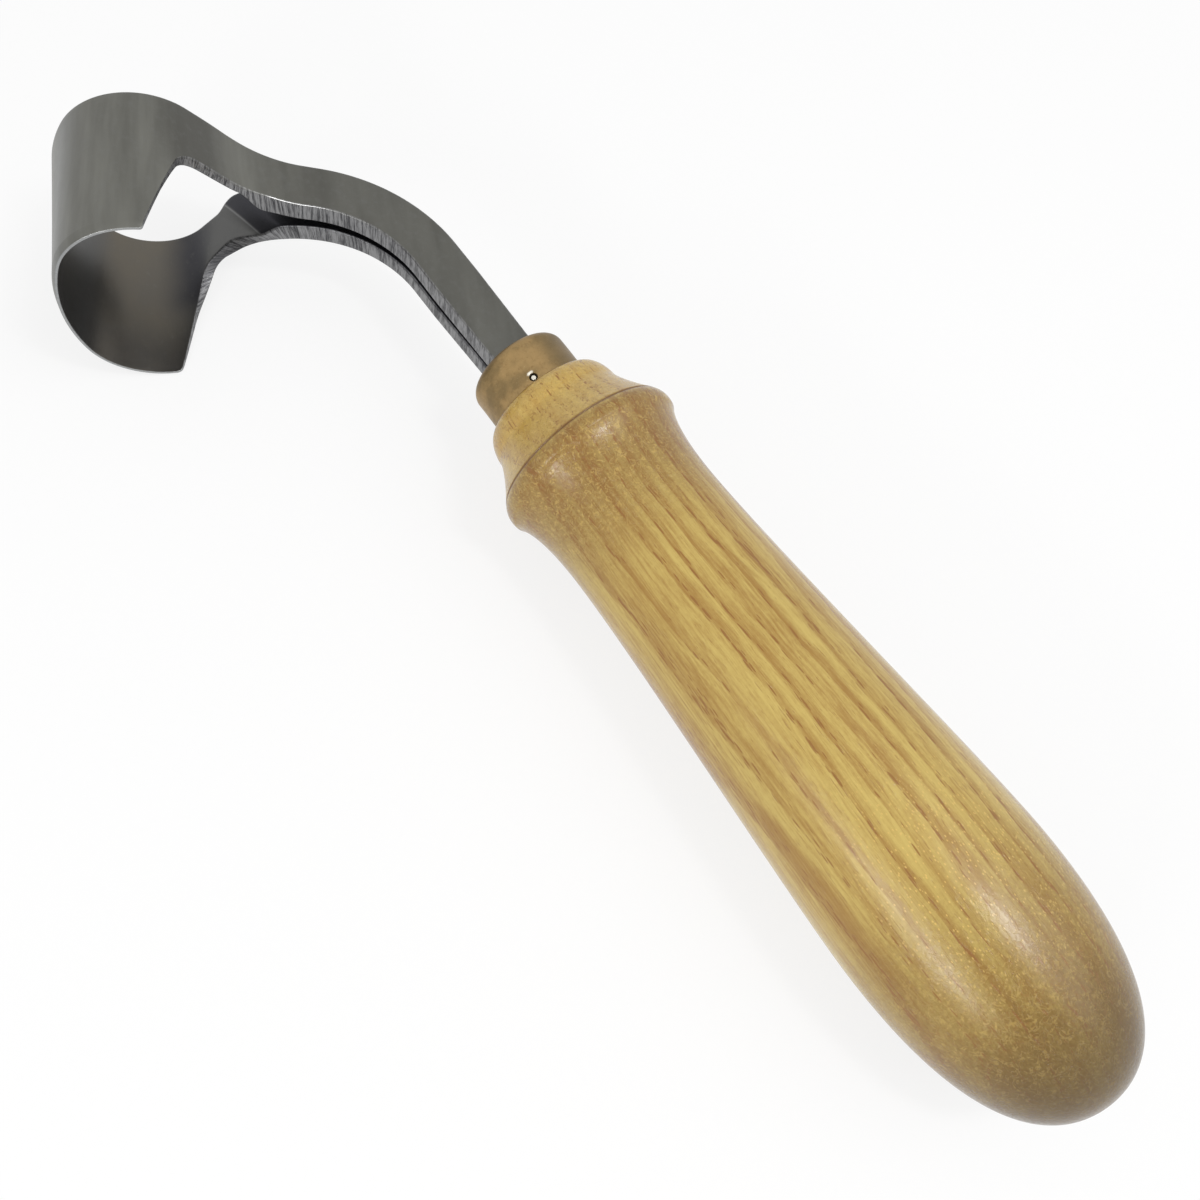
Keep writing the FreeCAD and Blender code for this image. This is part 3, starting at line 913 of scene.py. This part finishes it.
def blade_edges(depth, lower_corners):
    """The strip's lower and upper edges in the loop's own plane, as matched stations from
    beside the nose to the tang's end."""
    tang = TANG_END / MM
    lower_corners = [
        ((2.0, 0.0), 0),
        *lower_corners,
        ((-34.96, 12.0), 21.25),
        (in_loop((-16.0, -3.9)), 0.01),
        (in_loop((0.0, -3.6)), 0.01),
        (in_loop((tang, -2.2)), 0),
    ]
    upper_corners = [
        ((2.0, depth), 0),
        ((-12.84, depth), 20.0),
        ((-40.24, 18.42), 28.75),
        (in_loop((-16.0, 3.8)), 0.01),
        (in_loop((0.0, 3.5)), 0.01),
        (in_loop((tang, 2.2)), 0),
    ]
    lower = rounded_path(lower_corners, 0.1)
    upper = rounded_path(upper_corners, 0.1)
    corner, belly, notch, crest, fall, bend, taper, front = lower[2]
    spine, upper_bend, upper_taper, upper_front = upper[2]
    keys = [
        (0.0, 0.0, 0),
        (corner[0], 2.3, 8),
        (corner[1], 3.6, 10),
        (belly[0], blend(3.6, spine[0], 0.35), 12),
        (belly[1], blend(3.6, spine[0], 0.7), 20),
        (notch[0], blend(3.6, spine[0], 0.95), 8),
        (notch[1], blend(spine[0], spine[1], 0.3), 26),
        (crest[1], blend(spine[0], spine[1], 0.75), 40),
        (fall[1], blend(spine[1], upper_bend[0], 0.3), 30),
        (bend[0], upper_bend[0], 40),
        (bend[1], upper_bend[1], 60),
        (taper[0], upper_taper[0], 10),
        (front[0], upper_front[0], 24),
        (lower[1][-1], upper[1][-1], 24),
    ]
    low = [[0.0]]
    high = [[0.0]]
    for (a, b, _), (c, d, count) in zip(keys, keys[1:]):
        low.append(np.linspace(a, c, count + 1)[1:])
        high.append(np.linspace(b, d, count + 1)[1:])
    return at_length(lower, np.concatenate(low)), at_length(upper, np.concatenate(high))


# The two legs as filed by hand: the corners (along, depth) and rounds of the wall end and
# notch on each face, where the inside grind runs out, and the thickness lost near the ferrule
NEAR_LEG = {
    "way": 1,
    "outer": [
        ((-1.5, 0.0), 0.5),
        ((-4.5, 8.3), 40.0),
        ((-7.2, 15.65), 3.5),
        ((-13.0, 15.5), 20.0),
        ((-19.0, 15.2), 12.0),
    ],
    "inner": [
        ((-1.5, 0.0), 0.5),
        ((-4.3, 8.1), 40.0),
        ((-6.85, 14.95), 3.3),
        ((-12.5, 15.1), 20.0),
        ((-19.0, 15.1), 12.0),
    ],
    "grind": -12.4,
    "lost": -0.12,
}
FAR_LEG = {
    "way": -1,
    "outer": [
        ((-1.5, 0.0), 1.0),
        ((-4.9, 10.4), 24.0),
        ((-9.1, 18.45), 2.2),
        ((-15.0, 16.8), 20.0),
        ((-20.3, 15.3), 12.0),
    ],
    "inner": [
        ((-1.5, 0.0), 1.0),
        ((-4.6, 10.4), 30.0),
        ((-6.7, 17.9), 3.4),
        ((-11.4, 18.95), 3.0),
        ((-18.2, 15.55), 12.0),
    ],
    "grind": -14.6,
    "lost": 0.45,
}
# Radii of the small rounds at the shanks' edges, the cutting edge and the spine, the shift
# of the cutting edge to the near side, and the thickness the tangs lose to their ends
SHANK_ROUND = 0.28
CUTTING_ROUND = 0.09
SPINE_ROUND = 0.2
EDGE_SHIFT = 0.45
TANG_TAPER = 1.0


def ring_shares():
    """One turn round the bar's section, as rows of (multiple of the edge round across the
    strip, share of the strip's width, multiple of the round into the thickness, share of
    the thickness, land). It goes up the outer face, over the spine, down the inner face
    and back over the cutting edge."""
    low = [0.0, 0.02, 0.045, 0.052, 0.06]
    rise = np.concatenate([low, np.linspace(0.1, 0.9, 15), [0.95, 0.985, 1.0]])
    turn = np.radians([22.5, 45, 67.5])
    rows = []
    for inner in (0, 1):
        top = 1 - inner
        for s in rise[::-1] if inner else rise:
            reach = 2.4 if 0 < s < 1 else 1.0
            rows.append((blend(1.0, -1.0, s) * reach, s, 0, inner, 0))
        over = -1 if top else 1
        into = -1 if inner else 1
        for a in turn:
            rows.append((over * (1 - np.sin(a)), top, into * (1 - np.cos(a)), inner, 0.6))
        for s in (0.0, 0.25, 0.5, 0.75, 1.0):
            through = 1 - s if inner else s
            rows.append((0, top, blend(1, -1, through), through, 1))
        for a in turn[::-1]:
            rows.append((over * (1 - np.sin(a)), top, -into * (1 - np.cos(a)), top, 0.6))
    return np.array(rows)


class ScorpBlade(bpy.types.Operator):
    """Forge the blade: loop, cranked double shank and tangs"""

    bl_idname = "scorp.blade"
    bl_label = "Blade"

    def execute(self, context):
        looks = context.scene.scorp_blade
        bar = BarShape(looks)
        depth = looks.depth / MM
        ring = ring_shares()
        pad_across, share_across, pad_in, share_in, land = ring.T
        halves = []
        marks = []
        for leg in (NEAR_LEG, FAR_LEG):
            way = leg["way"]
            outer_edges = blade_edges(depth, leg["outer"])
            inner_edges = blade_edges(depth, leg["inner"])
            outer_low, outer_high = (bar.run_at(bar.outer, edge) for edge in outer_edges)
            inner_low, inner_high = (bar.run_at(bar.inner, edge, leg) for edge in inner_edges)
            low_out, high_out = (from_nose(edge[:, 1]) for edge in outer_edges)
            low_in, high_in = (from_nose(edge[:, 1]) for edge in inner_edges)
            width = np.hypot(high_out - low_out, (outer_high - outer_low) * 0.9)
            loop_part = smooth_step(34.0, 26.0, outer_low)
            low_half = share_across < 0.5
            edge_round = blend(SHANK_ROUND, CUTTING_ROUND, loop_part * low_half)
            edge_round = blend(edge_round, SPINE_ROUND, loop_part * ~low_half)
            up = share_across + pad_across * edge_round / width
            run_out = blend(outer_low, outer_high, up)
            run_in = blend(inner_low, inner_high, up)
            rise_out = blend(low_out, high_out, up)
            rise_in = blend(low_in, high_in, up)
            out_along, out_side = bar.outer(run_out, rise_out)
            in_along, in_side = bar.inner(run_in, rise_in, leg)
            thick = np.hypot(out_along - in_along, out_side - in_side)
            through = share_in + pad_in * np.minimum(edge_round, thick * 0.3) / thick
            rise = blend(rise_out, rise_in, through)
            along = blend(out_along, in_along, through)
            side = blend(out_side, in_side, through)
            low_share = 1 - np.clip(rise, 0, depth) / depth
            z = way * side + EDGE_SHIFT * low_share * smooth_step(30.0, 8.0, run_out)
            flat = LOOP_CENTRE + along[..., None] * DOWN_LOOP + rise[..., None] * TO_SPINE
            tang = smooth_step(0.0, TANG_END / MM, flat[..., 0])
            z = z - way * tang * TANG_TAPER * (1 - through)
            halves.append(np.concatenate([flat, z[..., None]], -1))
            past_grind = smooth_step(1.0, -1.0, before_grind_end(in_along, rise_in, leg))
            # The near shank's lower outer corner, and the stretch of it where a highlight is
            # painted
            corner = (np.abs(pad_in - 1 + np.sqrt(0.5)) < 0.01) * (share_across == 0)
            wear_and_glint = smooth_step(-17.2, -19.5, out_along) * smooth_step(-34.0, -22.0, out_along)
            edge_glint = corner * wear_and_glint * (way == 1)
            spread = np.broadcast_to(land, rise.shape)
            table = (way * run_out, rise, through, spread, past_grind, edge_glint)
            marks.append(np.stack(table, -1))
        points = np.concatenate([halves[1][:0:-1], halves[0]])
        marks = np.concatenate([marks[1][:0:-1], marks[0]])
        rows, columns = points.shape[:2]
        ends = points[[0, -1]].mean(1)
        count = rows * columns
        first = np.arange(columns)
        faces = [
            grid_faces(rows, columns, True),
            fan(count, first)[:, ::-1],
            fan(count + 1, first + count - columns),
        ]
        names = ("run", "rise", "inner", "land", "past_grind", "edge_glint")
        table = {
            name: np.concatenate([marks[..., k].ravel(), [0, 0]]) for k, name in enumerate(names)
        }
        points = np.concatenate([points.reshape(-1, 3), ends])
        finished("steel_blade", points, faces, "blade", blade_steel(looks), table)
        return {"FINISHED"}


# Tang bedding


class ScorpBedding(bpy.types.Operator):
    """Give the hidden resin round the tangs its finish"""

    bl_idname = "scorp.bedding"
    bl_label = "Tang bedding"

    def execute(self, context):
        f = new_finish("resin_amber")
        place = f.place()
        cloud = f.noise(f.stretched(place, (0.4, 0.4, 0.4)), 1.0, 3.0)
        bubbles = (0.3 - f.cells(place, 1.4)).step(0.0, 0.1)
        colour = f.mix(cloud, linear((110, 84, 42)), linear((62, 44, 22)))
        material = f.surface(
            Base_Color=f.mix(bubbles * 0.4, colour, linear((160, 130, 80))),
            Roughness=0.3 + cloud * 0.2,
            Normal=f.bump(bubbles, 0.05),
        )
        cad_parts["tang_bedding"].material_slots[0].material = material
        return {"FINISHED"}


# Stage


class StageLooks(bpy.types.PropertyGroup):
    camera_place: bpy.props.FloatVectorProperty(
        name="Camera",
        description="Place of the camera",
        default=(0.07873, -0.07265, 0.14989), subtype="TRANSLATION",
    )
    camera_aim: bpy.props.FloatVectorProperty(
        name="Aim",
        description="Point that the camera looks at",
        default=(0.038727, -0.012529, 0.0), subtype="TRANSLATION",
    )
    camera_roll: bpy.props.FloatProperty(
        name="Roll",
        description="Turn of the camera about its line of sight",
        default=np.radians(21.332), unit="ROTATION",
    )
    lens: bpy.props.FloatProperty(
        name="Lens", description="Focal length", default=35.138, min=1, unit="CAMERA"
    )
    floor_height: length_prop(
        "Floor height", "Height of the surface that the tool lies on", -17.3
    )
    sky: bpy.props.FloatProperty(
        name="Room light", description="Strength of the even light", default=0.62, min=0
    )
    key_power: bpy.props.FloatProperty(
        name="Key power", description="Power of the large soft lamp", default=2.0, min=0
    )
    lamp_power: bpy.props.FloatProperty(
        name="Small lamp power",
        description="Power of the small lamps that show in the lacquer", default=0.55, min=0,
    )


def seen_directly(f):
    """1 for rays from the camera, from glossy surfaces and through clear ones."""
    path = f.add("ShaderNodeLightPath", {})
    names = ("Is Camera Ray", "Is Glossy Ray", "Is Transmission Ray")
    camera, glossy, through = (Number(f, path.outputs[name]) for name in names)
    return (camera + glossy + through).capped()


def paper():
    """White sheet that stays near white to the eye but keeps the tool's shadow."""
    f = new_finish("paper_white")
    grain = f.noise(f.place(), 0.8, 3.0)
    colour = f.mix(grain, (0.9, 0.9, 0.9), (0.94, 0.94, 0.94))
    matt = f.add("ShaderNodeBsdfDiffuse", {}, Color=colour)
    glow = f.add("ShaderNodeEmission", {}, Color=(1.0, 1.0, 1.0), Strength=1.0)
    share = seen_directly(f) * 0.8
    both = f.add("ShaderNodeMixShader", {}, share, matt.outputs[0], glow.outputs[0])
    f.add("ShaderNodeOutputMaterial", {}, both.outputs[0])
    return f.owner


def lamp(name, place, aim, size, power):
    """Rectangular lamp that faces a point."""
    light = bpy.data.lights.new(name, "AREA")
    light.shape = "RECTANGLE"
    light.size, light.size_y = size
    light.energy = power
    holder = bpy.data.objects.new(name, light)
    holder.location = place
    holder.rotation_euler = (Vector(aim) - Vector(place)).to_track_quat("-Z", "Y").to_euler()
    bpy.context.scene.collection.objects.link(holder)


# Half the white sheet's side, and the key lamp's place, aim and size, all in metres
SHEET_HALF = 1.5
KEY_PLACE = (0.45, 0.35, 0.75)
KEY_AIM = (0.03, -0.01, 0.0)
KEY_SIZE = (0.7, 0.7)
# Small lamps: how far they are from the handle in metres, then for each the point of the
# handle (mm) where it shows, the direction it lies in, its size in metres and its share
# of the power
WINDOW_DISTANCE = 0.5
WINDOWS = (
    ("window", (103.2, -2.8, 15.7), (0.242, 0.132, 0.961), (0.06, 0.12), 1.0),
    ("low_window", (106.4, -11.0, 11.3), (0.26, -0.874, 0.41), (0.12, 0.06), 0.75),
    ("side_window", (92.7, -10.9, 11.7), (0.027, -0.883, 0.468), (0.14, 0.06), 0.45),
)


class ScorpStage(bpy.types.Operator):
    """Lay the white sheet and set the lamps, the room's light and the camera"""

    bl_idname = "scorp.stage"
    bl_label = "Stage"

    def execute(self, context):
        looks = context.scene.scorp_stage
        scene = context.scene
        corners = [
            (x * SHEET_HALF, y * SHEET_HALF, looks.floor_height)
            for x, y in ((-1, -1), (1, -1), (1, 1), (-1, 1))
        ]
        mesh = bpy.data.meshes.new("sheet")
        mesh.from_pydata(corners, [], [(0, 1, 2, 3)])
        mesh.materials.append(paper())
        sheet = bpy.data.objects.new("sheet", mesh)
        scene.collection.objects.link(sheet)

        scene.world = bpy.data.worlds.new("room")
        f = Finish(scene.world)
        strength = looks.sky + seen_directly(f) * (1.0 - looks.sky)
        back = f.add("ShaderNodeBackground", {}, Color=(1.0, 1.0, 1.0), Strength=strength)
        f.add("ShaderNodeOutputWorld", {}, back.outputs[0])

        lamp("key", KEY_PLACE, KEY_AIM, KEY_SIZE, looks.key_power)
        for name, spot, out, size, share in WINDOWS:
            spot = Vector(spot) * MM
            place = spot + Vector(out) * WINDOW_DISTANCE
            lamp(name, place, spot, size, looks.lamp_power * share)

        data = bpy.data.cameras.new("camera")
        data.sensor_width = 36.0
        data.lens = looks.lens
        camera = bpy.data.objects.new("camera", data)
        place = Vector(looks.camera_place)
        forward = (Vector(looks.camera_aim) - place).normalized()
        right = forward.cross(Vector((0, 0, 1))).normalized()
        up = right.cross(forward)
        turn = looks.camera_roll
        across = right * np.cos(turn) + up * np.sin(turn)
        upward = up * np.cos(turn) - right * np.sin(turn)
        facing = Matrix((across, upward, -forward)).transposed().to_4x4()
        camera.matrix_world = Matrix.Translation(place) @ facing
        scene.collection.objects.link(camera)
        scene.camera = camera
        scene.view_settings.view_transform = "Standard"
        return {"FINISHED"}


class ScorpPanel(bpy.types.Panel):
    """Sizes and colours of the scorp, and the steps that make it"""

    bl_idname = "VIEW3D_PT_scorp"
    bl_label = "Scorp"
    bl_space_type = "VIEW_3D"
    bl_region_type = "UI"
    bl_category = "Scorp"

    def draw(self, context):
        for step in STEPS:
            box = self.layout.box()
            box.operator(step.bl_idname)
            looks = step.bl_idname.replace(".", "_")
            if looks in LOOKS:
                group = getattr(context.scene, looks)
                for name in group.__annotations__:
                    box.prop(group, name)


LOOKS = {
    "scorp_handle": HandleLooks,
    "scorp_ferrule": FerruleLooks,
    "scorp_blade": BladeLooks,
    "scorp_stage": StageLooks,
}
STEPS = (ScorpHandle, ScorpFerrule, ScorpBlade, ScorpBedding, ScorpStage)


def register():
    for kind in (*LOOKS.values(), *STEPS, ScorpPanel):
        bpy.utils.register_class(kind)
    for name, kind in LOOKS.items():
        setattr(bpy.types.Scene, name, bpy.props.PointerProperty(type=kind))


def unregister():
    for name in LOOKS:
        delattr(bpy.types.Scene, name)
    for kind in reversed((*LOOKS.values(), *STEPS, ScorpPanel)):
        bpy.utils.unregister_class(kind)


def main():
    register()
    bpy.ops.scorp.handle()
    bpy.ops.scorp.ferrule()
    bpy.ops.scorp.blade()
    bpy.ops.scorp.bedding()
    bpy.ops.scorp.stage()


if __name__ == "__main__":
    main()
